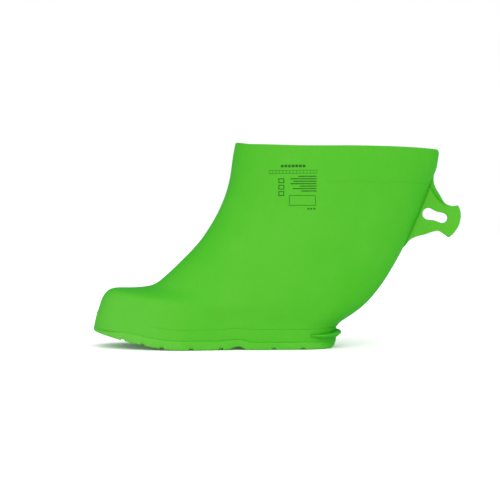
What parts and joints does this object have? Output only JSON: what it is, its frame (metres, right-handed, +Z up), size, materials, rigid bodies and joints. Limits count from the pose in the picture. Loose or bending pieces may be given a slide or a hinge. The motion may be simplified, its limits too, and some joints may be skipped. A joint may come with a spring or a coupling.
{
  "type": "overshoe",
  "caption": "Left rubber overshoe with a wide flared shaft open at the top, blunt toe, ribbed tread sole, heel spur and slotted pull tab.",
  "frame": {"origin": "middle of the overshoe's box, on the floor that its tread stands on", "axes": "+X from the toe to the pull tab, +Y to the inner side of the foot, +Z up"},
  "size_m": [0.501, 0.128, 0.277],
  "materials": {
    "green_rubber": "satin",
    "tread_rubber": "satin"
  },
  "bodies": {
    "root": {"upper": "green_rubber", "outsole": "tread_rubber", "heel_spur": "green_rubber", "pull_tab": "green_rubber"}
  },
  "joints": []
}
